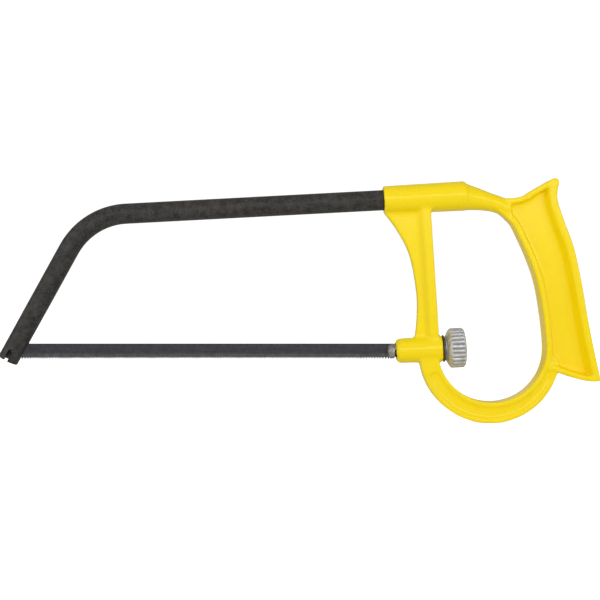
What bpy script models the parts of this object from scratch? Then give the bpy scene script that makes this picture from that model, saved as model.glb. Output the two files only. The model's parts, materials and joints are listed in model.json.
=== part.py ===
"""A junior hacksaw: a bent tube frame, a cast handle, a pinned blade and a screw tensioner.

World frame, in metres: +X runs from the nose of the saw to the handle, +Z is up and the teeth
point down. The saw's middle plane is y = 0, and the origin is the middle of the underside of
its box.

The cast handle has its own datum, drawn in the plane (u, w). It starts on the rear blade pin,
u runs along the tension stud and w at right angles to it. The frame tube enters the handle
parallel to the stud, and the whole handle leans back from the blade by HANDLE_TILT.
"""

import math

import bmesh
import bpy
from mathutils import Matrix, Vector

MM = 0.001

# Layout
PIN_SPACING = 147.5 * MM  # between the centres of the two blade pins
FRAME_RISE = 58.2 * MM  # stud axis to tube axis, in the handle
HANDLE_TILT = math.radians(3.0)
LEG_ANGLE = math.radians(61.1)  # front leg of the tube to the blade
SLIDE_FIT = 0.2 * MM  # round pieces that slide or turn in a bore, on the radius
SEAT_GAP = 0.3 * MM  # pieces that stand face to face
CUT_PAST = 5.0 * MM  # how far a cutter runs past what it cuts

# Frame tube
TUBE_RADIUS = 3.9 * MM
BEND_RADIUS = 26.5 * MM
TUBE_DEPTH = 24.0 * MM  # length held in the socket
LEG_OVERHANG = 4.0 * MM  # leg past the front pin
TUBE_SIDES = 28
BEND_STEPS = 12

# Blade
BLADE_HEIGHT = 6.0 * MM
PIN_RISE = 0.15 * MM  # the pins' centres above the middle of the blade
BLADE_THICKNESS = 0.65 * MM
BLADE_END = 2.0 * MM  # blade past each pin
TOOTH_PITCH = 25.4 * MM / 24
TOOTH_DEPTH = 0.75 * MM
TOOTH_STOP = 1.0 * MM  # the last tooth in front of the rear pin
TOOTH_LEAN = 0.12  # share of the pitch from a tooth's front foot to its tip
PIN_RADIUS = 0.6 * MM
PIN_LENGTH = 5.5 * MM
PIN_BEARING = 0.35 * MM  # length of each end of the front pin in the tube's wall
PIN_EDGE = 0.2 * MM
BLADE_SLOT = 1.0 * MM  # width of the saw cuts that take the blade

# Tension stud, washer and nut
STUD_RADIUS = 2.85 * MM
STUD_NOSE = 3.5 * MM  # stud in front of the rear pin
STUD_NOSE_ROUND = 2.0 * MM
STUD_SLOT_END = 3.2 * MM  # end of the blade slot behind the rear pin
STUD_TAIL_RECESS = 1.0 * MM  # tail of the stud below the nut's outer face
STUD_TAIL_CHAMFER = 0.5 * MM
WASHER_RIM = 2.15 * MM  # width of the washer's ring
WASHER_THICKNESS = 0.5 * MM
NUT_RADIUS = 7.65 * MM
NUT_NECK_WALL = 1.55 * MM
NUT_NECK_LENGTH = 0.25 * MM
NUT_CONE_LENGTH = 1.2 * MM
NUT_HEAD_LENGTH = 6.0 * MM
NUT_FLUTES = 26
NUT_FLUTE_DEPTH = 0.45 * MM
NUT_EDGE = 0.7 * MM
NUT_RECESS_DEPTH = 0.6 * MM
NUT_RECESS_RADIUS = 5.2 * MM
NUT_RECESS_DRAFT = 0.3 * MM  # how much narrower the recess is at its floor

# Socket for the tube and boss for the stud, both turned shapes on the handle
SOCKET_START = -2.0 * MM
SOCKET_LENGTH = 32.0 * MM
SOCKET_WALL = 1.3 * MM  # round the tube, at the socket's mouth
SOCKET_TAPER = 0.3 * MM  # growth in radius to its far end
BOSS_START = -0.3 * MM
BOSS_LENGTH = 17.95 * MM
BOSS_MOUTH = 1.2 * MM  # slope at the end that faces the nose
BOSS_WALL = 1.7 * MM  # round the stud, at the boss's mouth
BOSS_TAPER = 0.5 * MM
TURNED_CHAMFER = 0.6 * MM
TURNED_SIDES = 32

# What fits round the tube and the stud
SOCKET_BORE = TUBE_RADIUS + SLIDE_FIT
SOCKET_RADIUS = SOCKET_BORE + SOCKET_WALL
STUD_BORE = STUD_RADIUS + SLIDE_FIT
BOSS_RADIUS = STUD_BORE + BOSS_WALL
PIN_FIT = PIN_RADIUS + SLIDE_FIT
BLADE_TOP = BLADE_HEIGHT / 2 - PIN_RISE
TUBE_BORE = PIN_LENGTH / 2 - PIN_BEARING

# Post between socket and boss: a thin web with a rib along its hand side
POST_BACK = 16.5 * MM  # hand side of the post at the boss
POST_LEAN = 0.7 * MM  # how much nearer the nose that side is at the socket
POST_WEB_HALF = 2.0 * MM
POST_RIB_HALF = 4.0 * MM
POST_RIB_WIDTH = 3.2 * MM
POST_COVE = 2.0 * MM
POST_WAIST = 8.6 * MM  # nose side of the web at its narrowest

# Bow under the hand
BOW_U = 36.3 * MM
BOW_W = -0.7 * MM
BOW_INNER_RADIUS = 20.7 * MM
BOW_OUTER_RADIUS = 26.8 * MM
BOW_OUTER_SHIFT_U = -0.8 * MM  # outer circle's centre from the inner one's
BOW_OUTER_SHIFT_W = -1.9 * MM
BOW_HALF = 4.0 * MM
BOW_RIM = 1.8 * MM
BOW_GROOVE_DEPTH = 0.7 * MM

# Grip: a flat web in a tray of walls
GRIP_TAIL = (76.5 * MM, -15.3 * MM)  # its lowest corner, behind the palm
GRIP_HALF = 6.4 * MM  # half thickness at the tail
GRIP_TAPER = 0.1  # loss of half thickness for each length towards the nose
GRIP_WEB_HALF = 1.5 * MM
FINGER_RIM = 2.0 * MM
TOP_RIM = 1.9 * MM
LIP_RIM = 1.9 * MM
PALM_RIM = 2.4 * MM
WALL_SLOPE = 0.5 * MM  # run of the tray's walls from rim to web
PALM_SLOPE = 1.9 * MM
CURVE_STEPS = 6

# The arm that joins socket and grip: distance from the socket's far end, height of its centre
# over the tube axis, half height and half width
ARM_STATIONS = (
    (-1.0 * MM, -0.2 * MM, SOCKET_RADIUS, SOCKET_RADIUS),
    (1.0 * MM, -0.6 * MM, SOCKET_RADIUS - 0.4 * MM, SOCKET_RADIUS - 0.5 * MM),
    (5.5 * MM, -1.7 * MM, 4.2 * MM, 4.3 * MM),
    (9.5 * MM, -3.0 * MM, 3.6 * MM, 4.0 * MM),
    (13.5 * MM, -4.6 * MM, 3.7 * MM, 3.8 * MM),
    (16.7 * MM, -6.4 * MM, 3.4 * MM, 3.6 * MM),
)
ARM_SIDES = 20


# ---- Plane curves -----------------------------------------------------------------------


def arc(centre, radius, start, end, steps):
    """Points on a circle from angle start to angle end, both included, in degrees."""
    angles = [math.radians(start + (end - start) * i / steps) for i in range(steps + 1)]
    return [(centre[0] + radius * math.cos(a), centre[1] + radius * math.sin(a)) for a in angles]


def smooth(points, steps=CURVE_STEPS):
    """A Catmull-Rom curve through the points, ends included."""
    ends = [points[0], *points, points[-1]]
    curve = []
    for a, b, c, d in zip(ends, ends[1:], ends[2:], ends[3:]):
        for i in range(steps):
            t = i / steps
            curve.append(
                tuple(
                    0.5 * (2 * q + (r - p) * t + (2 * p - 5 * q + 4 * r - s) * t**2
                           + (3 * q - p - 3 * r + s) * t**3)
                    for p, q, r, s in zip(a, b, c, d)
                )
            )
    return curve + [points[-1]]


def meeting(line, other):
    """Where two lines, each a point and a unit direction, cross; halfway if they are in line."""
    (p, d), (q, e) = line, other
    cross = d.x * e.y - d.y * e.x
    offset = q - p
    if abs(cross) < 1e-3:
        return p + (offset + d * offset.dot(d)) / 2
    return p + d * ((offset.x * e.y - offset.y * e.x) / cross)


def insets(outline, near, far):
    """The outline, counterclockwise, with each edge moved inwards by its own distance in near,
    and again by its distance in far. Edges that the far inset would turn round are left out of
    both, so that the two have as many points."""
    edges = []
    for start, end, first, second in zip(outline, outline[1:] + outline[:1], near, far):
        start = Vector(start)
        along = (Vector(end) - start).normalized()
        inward = Vector((-along.y, along.x))
        edges.append(((start + inward * first, along), (start + inward * second, along)))
    while True:
        rings = [[meeting(edges[i - 1][side], edges[i][side]) for i in range(len(edges))]
                 for side in (0, 1)]
        floor = rings[1]
        runs = [(floor[(i + 1) % len(floor)] - floor[i]).dot(edges[i][1][1])
                for i in range(len(floor))]
        if min(runs) > 0:
            return [[tuple(p) for p in ring] for ring in rings]
        edges.pop(runs.index(min(runs)))


# ---- Solids -----------------------------------------------------------------------------


def material(name, colour, roughness, metallic):
    made = bpy.data.materials.new(name)
    made.use_nodes = True
    shader = made.node_tree.nodes["Principled BSDF"]
    shader.inputs["Base Color"].default_value = (*colour, 1.0)
    shader.inputs["Roughness"].default_value = roughness
    shader.inputs["Metallic"].default_value = metallic
    return made


def new_object(name, mesh):
    made = bpy.data.objects.new(name, mesh)
    bpy.context.scene.collection.objects.link(made)
    return made


def mesh_of(name, points, faces):
    mesh = bpy.data.meshes.new(name)
    mesh.from_pydata([tuple(p) for p in points], [], faces)
    shape = bmesh.new()
    shape.from_mesh(mesh)
    bmesh.ops.remove_doubles(shape, verts=shape.verts, dist=1e-7)
    bmesh.ops.recalc_face_normals(shape, faces=shape.faces)
    shape.to_mesh(mesh)
    shape.free()
    return mesh


def skin(name, rings, close=True):
    """A mesh through closed rings of equally many points; close caps the first and the last."""
    size = len(rings[0])
    points = [p for ring in rings for p in ring]
    faces = []
    for i in range(len(rings) - 1):
        for j in range(size):
            k = (j + 1) % size
            faces.append((i * size + j, i * size + k, (i + 1) * size + k, (i + 1) * size + j))
    if close:
        faces.append(tuple(range(size)))
        faces.append(tuple(range((len(rings) - 1) * size, len(rings) * size)))
    return mesh_of(name, points, faces)


def plate(name, outline, half):
    """A flat plate of that outline, from y = -half to y = half."""
    rings = [[(u, y, w) for u, w in outline] for y in (-half, half)]
    return new_object(name, skin(name, rings))


def tray_cutter(name, rim, floor, floor_half, rim_half):
    """A tapered plug on one side of the middle plane: its floor outline at floor_half, its rim
    outline at rim_half and on past it, on the side of rim_half's sign."""
    past = rim_half * 1.5
    rings = [[(u, y, w) for u, w in shape]
             for shape, y in ((floor, floor_half), (rim, rim_half), (rim, past))]
    return new_object(name, skin(name, rings))


def turned(name, profile, height=0.0, sides=TURNED_SIDES):
    """A solid turned about the u axis at w = height, from (u, radius) points; a radius of 0
    closes an end."""
    rings = []
    for u, radius in profile:
        radius = max(radius, 1e-9)
        rings.append([
            (u, radius * math.sin(2 * math.pi * i / sides),
             height + radius * math.cos(2 * math.pi * i / sides))
            for i in range(sides)
        ])
    return new_object(name, skin(name, rings, close=profile[0][1] > 0))


def box(name, low, high):
    corners = [(x, y, z) for x in (low[0], high[0]) for y in (low[1], high[1])
               for z in (low[2], high[2])]
    faces = [(0, 1, 3, 2), (4, 6, 7, 5), (0, 4, 5, 1), (2, 3, 7, 6), (0, 2, 6, 4), (1, 5, 7, 3)]
    return new_object(name, mesh_of(name, corners, faces))


def combine(target, tools, operation):
    """Joins the tools to the target, or cuts them from it, and takes the tools away."""
    for tool in tools:
        step = target.modifiers.new(tool.name, "BOOLEAN")
        step.object = tool
        step.operation = operation
        step.solver = "EXACT"
    graph = bpy.context.evaluated_depsgraph_get()
    target.data = bpy.data.meshes.new_from_object(target.evaluated_get(graph))
    target.modifiers.clear()
    for tool in tools:
        bpy.data.objects.remove(tool)


def finish(obj, surface, parent, location=(0.0, 0.0, 0.0), rotation=0.0, crease=35):
    """Dresses the object and hangs it on its parent, turned about y by rotation."""
    obj.data.materials.clear()
    obj.data.materials.append(surface)
    obj.data.shade_smooth()
    obj.data.set_sharp_from_angle(angle=math.radians(crease))
    obj.parent = parent
    obj.location = location
    obj.rotation_euler = (0.0, rotation, 0.0)
    return obj


# ---- The handle -------------------------------------------------------------------------


def bow_centre():
    return BOW_U + BOW_OUTER_SHIFT_U, BOW_W + BOW_OUTER_SHIFT_W


def grip_sides():
    """The grip's outline as four curves, counterclockwise: lip, palm, top and finger side."""
    corner = (60.3 * MM, -11.0 * MM)
    tail = GRIP_TAIL
    horn = FRAME_RISE + 3.4 * MM
    bow_right = arc((BOW_U, BOW_W), BOW_INNER_RADIUS, 0.0, -25.0, 4)
    lip = [bow_right[-1], corner] + smooth([corner, (66.6 * MM, -13.6 * MM),
                                            (72.4 * MM, -15.2 * MM), tail])[1:]
    palm = [tail] + smooth([
        (76.5 * MM, -14.6 * MM),
        (75.0 * MM, -5.7 * MM),
        (73.2 * MM, 6.5 * MM),
        (71.0 * MM, 24.8 * MM),
        (68.9 * MM, FRAME_RISE - 21.2 * MM),
        (66.1 * MM, FRAME_RISE - 12.0 * MM),
        (64.2 * MM, FRAME_RISE - 4.8 * MM),
        (64.1 * MM, FRAME_RISE - 0.8 * MM),
        (65.0 * MM, horn - 0.7 * MM),
    ])
    top = [palm[-1], (64.8 * MM, horn + 0.7 * MM), (63.6 * MM, horn + 1.3 * MM)] + smooth([
        (62.2 * MM, horn + 0.9 * MM),
        (55.2 * MM, FRAME_RISE + 0.7 * MM),
        (51.5 * MM, FRAME_RISE - 1.3 * MM),
        (48.0 * MM, FRAME_RISE - 2.0 * MM),
        (45.0 * MM, FRAME_RISE - 1.8 * MM),
    ])
    finger = [top[-1], (43.0 * MM, FRAME_RISE - 4.6 * MM)] + smooth([
        (41.0 * MM, FRAME_RISE - 6.3 * MM),
        (44.7 * MM, FRAME_RISE - 9.8 * MM),
        (47.4 * MM, FRAME_RISE - 13.5 * MM),
        (52.4 * MM, FRAME_RISE - 26.0 * MM),
        (55.0 * MM, 22.7 * MM),
        (56.5 * MM, 10.2 * MM),
        (BOW_U + BOW_INNER_RADIUS, BOW_W),
    ]) + bow_right[1:]
    return lip, palm, top, finger


def grip():
    """The tray-shaped grip, with its web in the middle plane."""
    sides = grip_sides()
    outline = [p for side in sides for p in side[:-1]]
    rims = (LIP_RIM, PALM_RIM, TOP_RIM, FINGER_RIM)
    slopes = (WALL_SLOPE, PALM_SLOPE, WALL_SLOPE, WALL_SLOPE)
    rim_widths = [rim for side, rim in zip(sides, rims) for _ in side[:-1]]
    floor_widths = [rim + slope for side, rim, slope in zip(sides, rims, slopes)
                    for _ in side[:-1]]
    rings = [[(u, side * (GRIP_HALF - GRIP_TAPER * (GRIP_TAIL[0] - u)), w) for u, w in outline]
             for side in (-1, 1)]
    body = new_object("grip", skin("grip", rings))
    rim, floor = insets(outline, rim_widths, floor_widths)
    trays = [tray_cutter(f"tray_{side}", rim, floor, side * GRIP_WEB_HALF, side * GRIP_HALF)
             for side in (-1, 1)]
    combine(body, trays, "DIFFERENCE")
    return body


def bow():
    """The crescent under the hand, with a shallow groove in each face."""
    inner, outer = (BOW_U, BOW_W), bow_centre()
    body = plate("bow", arc(outer, BOW_OUTER_RADIUS, 180, 350, 34)
                 + arc(inner, BOW_INNER_RADIUS, 358, 180, 34), BOW_HALF)
    groove = (arc(outer, BOW_OUTER_RADIUS - BOW_RIM, 196, 334, 28)
              + arc(inner, BOW_INNER_RADIUS + BOW_RIM, 338, 200, 28))
    cuts = []
    for side in (-1, 1):
        low, high = sorted((side * (BOW_HALF - BOW_GROOVE_DEPTH), side * BOW_HALF * 1.5))
        rings = [[(u, y, w) for u, w in groove] for y in (low, high)]
        cuts.append(new_object(f"groove_{side}", skin("groove", rings)))
    combine(body, cuts, "DIFFERENCE")
    return body


def post():
    """The web and the rib between socket and boss."""
    foot, head = 2.0 * MM, FRAME_RISE - 2.0 * MM
    nose_side = smooth([
        (SOCKET_START + 0.1 * MM, FRAME_RISE - SOCKET_RADIUS + 0.5 * MM),
        (SOCKET_START + 5.0 * MM, FRAME_RISE - SOCKET_RADIUS - 7.0 * MM),
        (SOCKET_START + 9.2 * MM, FRAME_RISE - SOCKET_RADIUS - 17.0 * MM),
        (POST_WAIST + 0.4 * MM, BOSS_RADIUS + 16.5 * MM),
        (POST_WAIST - 0.1 * MM, BOSS_RADIUS + 7.0 * MM),
        (POST_WAIST - 1.2 * MM, BOSS_RADIUS),
    ])
    hand_side = POST_BACK - POST_LEAN - POST_RIB_WIDTH
    web = plate("web", nose_side + [(POST_WAIST, foot), (hand_side, foot), (hand_side, head),
                                    (SOCKET_START + TURNED_CHAMFER, head)], POST_WEB_HALF)
    face = POST_RIB_WIDTH
    cove = POST_RIB_WIDTH + POST_COVE
    section = [(cove, -POST_WEB_HALF), (face, -POST_RIB_HALF), (0.0, -POST_RIB_HALF),
               (0.0, POST_RIB_HALF), (face, POST_RIB_HALF), (cove, POST_WEB_HALF)]
    rings = [[(back - u, y, w) for u, y in section]
             for back, w in ((POST_BACK, foot), (POST_BACK - POST_LEAN, head))]
    rib = new_object("rib", skin("rib", rings))
    combine(web, [rib], "UNION")
    return web


def arm():
    """The rounded arm from the socket's end to the top of the grip."""
    start = SOCKET_START + SOCKET_LENGTH
    rings = []
    for run, lift, half_height, half_width in ARM_STATIONS:
        rings.append([
            (start + run, half_width * math.sin(2 * math.pi * i / ARM_SIDES),
             FRAME_RISE + lift + half_height * math.cos(2 * math.pi * i / ARM_SIDES))
            for i in range(ARM_SIDES)
        ])
    return new_object("arm", skin("arm", rings))


def handle():
    """The whole casting, with the bores for the tube and the stud."""
    end = SOCKET_START + SOCKET_LENGTH
    wide = SOCKET_RADIUS + SOCKET_TAPER
    body = turned("handle_casting", [
        (SOCKET_START, SOCKET_RADIUS - TURNED_CHAMFER / 2),
        (SOCKET_START + TURNED_CHAMFER / 2, SOCKET_RADIUS),
        (end - TURNED_CHAMFER, wide),
        (end, wide - TURNED_CHAMFER),
    ], FRAME_RISE)
    boss_end = BOSS_START + BOSS_LENGTH
    boss = turned("boss", [
        (BOSS_START, BOSS_RADIUS - BOSS_MOUTH),
        (BOSS_START + BOSS_MOUTH, BOSS_RADIUS),
        (boss_end, BOSS_RADIUS + BOSS_TAPER),
    ])
    combine(body, [boss, post(), bow(), arm(), grip()], "UNION")
    # The blade's end reaches into the mouth of the stud's bore.
    mouth = max(STUD_BORE, BLADE_TOP + SLIDE_FIT)
    bores = [
        turned("tube_bore", [
            (SOCKET_START - CUT_PAST, SOCKET_BORE),
            (SOCKET_START + TUBE_DEPTH + SEAT_GAP, SOCKET_BORE),
        ], FRAME_RISE),
        turned("stud_bore", [(BOSS_START - CUT_PAST, STUD_BORE), (boss_end + CUT_PAST, STUD_BORE)]),
        turned("blade_room", [(BOSS_START - CUT_PAST, mouth), (BLADE_END + SEAT_GAP, mouth)]),
    ]
    combine(body, bores, "DIFFERENCE")
    return body


# ---- Frame tube -------------------------------------------------------------------------


def from_handle(u, w):
    """A point of the handle's plane in the blade's plane: x from the front pin, z above it."""
    cos, sin = math.cos(HANDLE_TILT), math.sin(HANDLE_TILT)
    return PIN_SPACING + u * cos - w * sin, u * sin + w * cos


def hook_outline(floor):
    """A notch that takes a blade pin: open downwards to floor, round over the pin at its top."""
    return arc((0.0, 0.0), PIN_FIT, 0, 180, 12) + [(-PIN_FIT, floor), (PIN_FIT, floor)]


def tube_path():
    """Centre line of the tube in the blade's plane, from the end of its leg to the socket, with
    the direction of travel at each point."""
    leg = Vector((math.cos(LEG_ANGLE), math.sin(LEG_ANGLE)))
    run = Vector((math.cos(HANDLE_TILT), math.sin(HANDLE_TILT)))
    tail = Vector(from_handle(SOCKET_START + TUBE_DEPTH, FRAME_RISE))
    # The leg's line starts on the front pin, at the origin, and meets the tube's top run.
    reach = (tail.x * run.y - tail.y * run.x) / (leg.x * run.y - leg.y * run.x)
    corner = leg * reach
    bend = LEG_ANGLE - HANDLE_TILT
    setback = BEND_RADIUS * math.tan(bend / 2)
    centre = corner - leg * setback + Vector((leg.y, -leg.x)) * BEND_RADIUS
    path = [(leg * -LEG_OVERHANG, leg)]
    for i in range(BEND_STEPS + 1):
        angle = LEG_ANGLE - bend * i / BEND_STEPS
        along = Vector((math.cos(angle), math.sin(angle)))
        path.append((centre + Vector((-along.y, along.x)) * BEND_RADIUS, along))
    path.append((tail, run))
    return path


def frame_tube():
    """The bent tube, slotted at the nose for the blade and notched for its pin."""
    rings = []
    for radius in (TUBE_RADIUS, TUBE_BORE):
        side = []
        for centre, along in tube_path():
            across = Vector((along.y, -along.x))
            side.append([
                (centre.x + across.x * radius * math.cos(a), radius * math.sin(a),
                 centre.y + across.y * radius * math.cos(a))
                for a in (2 * math.pi * i / TUBE_SIDES for i in range(TUBE_SIDES))
            ])
        rings += side if radius == TUBE_RADIUS else side[::-1]
    rings.append(rings[0])
    tube = new_object("frame_tube", skin("frame_tube", rings, close=False))
    # The cuts are drawn with z along the leg, from the front pin up, then turned to it.
    lean = math.pi / 2 - LEG_ANGLE
    out, down = TUBE_RADIUS + CUT_PAST, -LEG_OVERHANG - CUT_PAST
    blade_room = (BLADE_TOP + SEAT_GAP) / math.sin(LEG_ANGLE)
    slot_top = blade_room + TUBE_RADIUS / math.tan(LEG_ANGLE)
    slot = box("slot", (-out, -BLADE_SLOT / 2, down), (out, BLADE_SLOT / 2, slot_top))
    notch = plate("notch", hook_outline(down), out)
    for cutter in (slot, notch):
        cutter.data.transform(Matrix.Rotation(lean, 4, "Y"))
    combine(tube, [slot, notch], "DIFFERENCE")
    return tube


# ---- Blade, pins and tensioner ----------------------------------------------------------


def blade():
    """The toothed strip, from its own origin on the rear pin."""
    front, back = -PIN_SPACING - BLADE_END, BLADE_END
    tip = BLADE_TOP - BLADE_HEIGHT
    gullet = tip + TOOTH_DEPTH
    teeth = math.floor((-TOOTH_STOP - front) / TOOTH_PITCH)
    outline = [(front, BLADE_TOP), (front, gullet)]
    for i in range(teeth):
        start = front + i * TOOTH_PITCH
        outline += [(start + TOOTH_LEAN * TOOTH_PITCH, tip), (start + TOOTH_PITCH, gullet)]
    outline += [(back, gullet), (back, BLADE_TOP)]
    strip = plate("blade", outline, BLADE_THICKNESS / 2)
    holes = [plate("hole", arc((x, 0.0), PIN_RADIUS + SLIDE_FIT / 2, 0, 345, 23), BLADE_THICKNESS)
             for x in (0.0, -PIN_SPACING)]
    combine(strip, holes, "DIFFERENCE")
    return strip


def blade_pin(name):
    """A pin along y, with softened ends, which bears on the tube's wall or on the stud."""
    half = PIN_LENGTH / 2
    pin = turned(name, [(-half, PIN_RADIUS - PIN_EDGE), (-half + PIN_EDGE, PIN_RADIUS),
                        (half - PIN_EDGE, PIN_RADIUS), (half, PIN_RADIUS - PIN_EDGE)], sides=20)
    pin.data.transform(Matrix.Rotation(math.pi / 2, 4, "Z"))
    return pin


def nut_start():
    return BOSS_START + BOSS_LENGTH + WASHER_THICKNESS + 2 * SEAT_GAP


def nut_end():
    return nut_start() + NUT_NECK_LENGTH + NUT_CONE_LENGTH + NUT_HEAD_LENGTH


def tension_stud():
    """The stud, from its own origin on the rear pin: a round nose slotted for the blade, a cross
    notch that hooks the pin from below, and a shank that runs into the nut."""
    nose = [(-STUD_NOSE + STUD_NOSE_ROUND * (1 - math.sin(a)),
             STUD_RADIUS - STUD_NOSE_ROUND * (1 - math.cos(a)))
            for a in (math.radians(90 - 22.5 * i) for i in range(5))]
    tail = nut_end() - STUD_TAIL_RECESS
    stud = turned("tension_stud", nose + [(tail - STUD_TAIL_CHAMFER, STUD_RADIUS),
                                          (tail, STUD_RADIUS - STUD_TAIL_CHAMFER)])
    out = STUD_RADIUS + CUT_PAST
    slot = box("slot", (-STUD_NOSE - CUT_PAST, -BLADE_SLOT / 2, -out),
               (STUD_SLOT_END, BLADE_SLOT / 2, out))
    hook = plate("hook", hook_outline(-out), out)
    combine(stud, [slot, hook], "DIFFERENCE")
    return stud


def thrust_washer():
    half = WASHER_THICKNESS / 2
    radius = STUD_BORE + WASHER_RIM
    washer = turned("thrust_washer", [(-half, radius), (half, radius)])
    hole = turned("hole", [(-CUT_PAST, STUD_BORE), (CUT_PAST, STUD_BORE)])
    combine(washer, [hole], "DIFFERENCE")
    return washer


def tension_nut():
    """The knurled thumb nut, from its own origin on the stud's axis at its inner face."""
    shoulder = NUT_NECK_LENGTH + NUT_CONE_LENGTH
    end = shoulder + NUT_HEAD_LENGTH
    neck = STUD_BORE + NUT_NECK_WALL
    outer = [(0.0, neck, 0.0), (NUT_NECK_LENGTH, neck, 0.0),
             (shoulder, NUT_RADIUS - NUT_EDGE, 1.0), (shoulder + NUT_EDGE, NUT_RADIUS, 1.0),
             (end - NUT_EDGE, NUT_RADIUS, 1.0), (end, NUT_RADIUS - NUT_EDGE, 1.0)]
    sides = NUT_FLUTES * 4
    rings = []
    for u, radius, fluted in outer:
        ring = []
        for i in range(sides):
            dip = 0.5 * NUT_FLUTE_DEPTH * fluted * (1 - math.cos(2 * math.pi * i / 4))
            a = 2 * math.pi * i / sides
            ring.append((u, (radius - dip) * math.sin(a), (radius - dip) * math.cos(a)))
        rings.append(ring)
    nut = new_object("tension_nut", skin("tension_nut", rings))
    bore = turned("bore", [(-CUT_PAST, STUD_BORE), (end + CUT_PAST, STUD_BORE)])
    recess = turned("recess", [(end - NUT_RECESS_DEPTH, NUT_RECESS_RADIUS - NUT_RECESS_DRAFT),
                               (end, NUT_RECESS_RADIUS),
                               (end + CUT_PAST, NUT_RECESS_RADIUS)])
    combine(nut, [bore, recess], "DIFFERENCE")
    return nut


# ---- Assembly ---------------------------------------------------------------------------


def stand():
    """Where the front pin goes for the box's underside to be centred on the origin."""
    nose = Vector((math.cos(LEG_ANGLE), math.sin(LEG_ANGLE))) * -LEG_OVERHANG
    nose -= Vector((math.sin(LEG_ANGLE), -math.cos(LEG_ANGLE))) * TUBE_RADIUS
    tail = from_handle(*GRIP_TAIL)
    bottom = from_handle(*bow_centre())[1] - BOW_OUTER_RADIUS
    return -(nose.x + tail[0]) / 2, 0.0, -bottom


def main():
    for obj in list(bpy.data.objects):
        bpy.data.objects.remove(obj)
    paint = material("handle_paint", (0.93, 0.72, 0.02), 0.28, 0.0)
    black = material("tube_enamel", (0.03, 0.03, 0.032), 0.5, 0.0)
    steel = material("blade_steel", (0.07, 0.07, 0.08), 0.45, 0.6)
    wire = material("pin_steel", (0.10, 0.10, 0.10), 0.45, 0.8)
    zinc = material("zinc_plate", (0.72, 0.72, 0.72), 0.3, 1.0)
    dull = material("stud_steel", (0.33, 0.33, 0.32), 0.45, 1.0)

    saw = new_object("saw", None)
    saw.location = stand()
    datum = new_object("handle_datum", None)
    datum.parent = saw
    datum.location = (PIN_SPACING, 0.0, 0.0)
    datum.rotation_euler = (0.0, -HANDLE_TILT, 0.0)

    finish(handle(), paint, datum)
    finish(frame_tube(), black, saw)
    finish(tension_stud(), dull, datum)
    washer_middle = BOSS_START + BOSS_LENGTH + SEAT_GAP + WASHER_THICKNESS / 2
    finish(thrust_washer(), zinc, datum, (washer_middle, 0.0, 0.0))
    finish(tension_nut(), zinc, datum, (nut_start(), 0.0, 0.0))
    finish(blade(), steel, saw, (PIN_SPACING, 0.0, 0.0))
    finish(blade_pin("rear_blade_pin"), wire, saw, (PIN_SPACING, 0.0, 0.0))
    finish(blade_pin("front_blade_pin"), wire, saw)


main()
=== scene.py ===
"""Looks of a junior hacksaw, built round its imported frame.

The saw lies in the plane y = 0 with its teeth down. A painted casting holds an enamelled tube
at the top and a screw tensioner at the bottom, and the blade hangs between tube and tensioner.
Sizes are in metres. What the frame already measures is read from it; the rest are fields here.
"""

import json
import logging
import math
from dataclasses import dataclass
from enum import Enum

import bmesh
import bpy
import numpy as np
from mathutils import Matrix, Vector


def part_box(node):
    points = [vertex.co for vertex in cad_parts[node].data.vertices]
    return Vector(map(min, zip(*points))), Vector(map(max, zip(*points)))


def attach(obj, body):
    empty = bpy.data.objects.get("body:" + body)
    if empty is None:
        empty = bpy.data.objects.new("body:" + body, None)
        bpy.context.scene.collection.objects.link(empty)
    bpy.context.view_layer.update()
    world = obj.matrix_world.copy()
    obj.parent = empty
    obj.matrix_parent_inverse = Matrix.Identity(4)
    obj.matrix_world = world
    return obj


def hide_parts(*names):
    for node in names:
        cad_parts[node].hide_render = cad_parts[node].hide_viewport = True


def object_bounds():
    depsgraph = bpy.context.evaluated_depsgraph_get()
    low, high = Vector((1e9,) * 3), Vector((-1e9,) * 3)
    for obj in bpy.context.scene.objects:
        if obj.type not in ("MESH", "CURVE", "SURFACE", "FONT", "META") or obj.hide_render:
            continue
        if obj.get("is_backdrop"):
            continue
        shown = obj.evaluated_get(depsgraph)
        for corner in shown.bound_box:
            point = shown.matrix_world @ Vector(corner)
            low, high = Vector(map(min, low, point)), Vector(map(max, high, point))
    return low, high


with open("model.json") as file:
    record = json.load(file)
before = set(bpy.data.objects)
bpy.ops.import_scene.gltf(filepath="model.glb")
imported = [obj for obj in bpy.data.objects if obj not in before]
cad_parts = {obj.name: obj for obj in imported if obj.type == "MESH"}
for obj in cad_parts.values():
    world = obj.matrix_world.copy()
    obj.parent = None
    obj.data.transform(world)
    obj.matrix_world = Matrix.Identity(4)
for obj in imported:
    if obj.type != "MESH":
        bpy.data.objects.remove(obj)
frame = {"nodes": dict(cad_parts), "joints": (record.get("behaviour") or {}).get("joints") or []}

MM = 0.001
WELD = 0.001 * MM  # points this near each other are one
TOOTH_PITCH = 25.4 * MM / 24
THREAD_RUN_IN = 1.0 * MM  # a thread reaches its full depth over this length
SHANK_SHARE = 0.9  # past this share of a turned piece's outer radius, its thread is cut
TINY = 1e-6  # keeps a number from being divided by nothing
WHITE = (1.0, 1.0, 1.0)
log = logging.getLogger("hacksaw")


class Body(Enum):
    """The moving groups of the saw."""

    FRAME = "frame"
    NUT = "nut"
    STUD = "stud"
    BLADE = "blade"


# ---- Node trees -------------------------------------------------------------------------


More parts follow.
